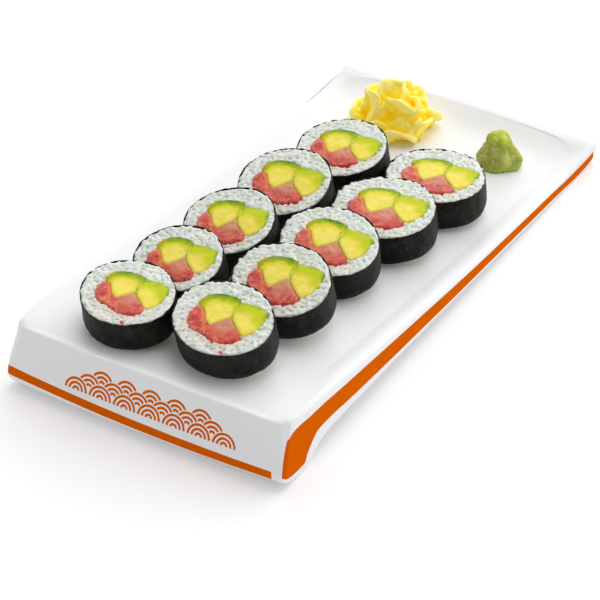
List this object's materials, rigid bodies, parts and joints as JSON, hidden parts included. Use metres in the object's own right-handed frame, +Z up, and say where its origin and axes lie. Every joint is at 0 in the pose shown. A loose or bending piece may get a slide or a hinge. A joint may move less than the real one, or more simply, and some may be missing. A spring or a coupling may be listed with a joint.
{
  "type": "plate of maki sushi rolls",
  "caption": "Sloping rectangular porcelain plate with two rows of thick maki slices, a heap of pickled ginger and a mound of wasabi",
  "frame": {"origin": "middle of the plate's footprint, on the table", "axes": "+Y from the high front end to the low lipped end, along the plate; +X to the right as seen from the front; +Z up"},
  "size_m": [0.152, 0.319, 0.0592],
  "materials": {
    "porcelain": "glossy white glaze with painted orange bands",
    "nori": "satin, slightly rough dried seaweed",
    "rice": "moist grains",
    "tuna": "moist raw fish",
    "avocado": "smooth, soft",
    "ginger": "moist, slightly translucent",
    "wasabi": "matte paste"
  },
  "bodies": {
    "root": {"plate": "porcelain", "left_1_nori": "nori", "left_1_rice": "rice", "left_1_tuna": "tuna", "left_1_avocado_slice": "avocado", "left_1_avocado_wedge": "avocado", "left_2_nori": "nori", "left_2_rice": "rice", "left_2_tuna": "tuna", "left_2_avocado_slice": "avocado", "left_2_avocado_wedge": "avocado", "left_3_nori": "nori", "left_3_rice": "rice", "left_3_tuna": "tuna", "left_3_avocado_slice": "avocado", "left_3_avocado_wedge": "avocado", "left_4_nori": "nori", "left_4_rice": "rice", "left_4_tuna": "tuna", "left_4_avocado_slice": "avocado", "left_4_avocado_wedge": "avocado", "left_5_nori": "nori", "left_5_rice": "rice", "left_5_tuna": "tuna", "left_5_avocado_slice": "avocado", "left_5_avocado_wedge": "avocado", "right_1_nori": "nori", "right_1_rice": "rice", "right_1_tuna": "tuna", "right_1_avocado_slice": "avocado", "right_1_avocado_wedge": "avocado", "right_2_nori": "nori", "right_2_rice": "rice", "right_2_tuna": "tuna", "right_2_avocado_slice": "avocado", "right_2_avocado_wedge": "avocado", "right_3_nori": "nori", "right_3_rice": "rice", "right_3_tuna": "tuna", "right_3_avocado_slice": "avocado", "right_3_avocado_wedge": "avocado", "right_4_nori": "nori", "right_4_rice": "rice", "right_4_tuna": "tuna", "right_4_avocado_slice": "avocado", "right_4_avocado_wedge": "avocado", "right_5_nori": "nori", "right_5_rice": "rice", "right_5_tuna": "tuna", "right_5_avocado_slice": "avocado", "right_5_avocado_wedge": "avocado", "ginger_heap": "ginger", "wasabi_mound": "wasabi"}
  },
  "joints": []
}
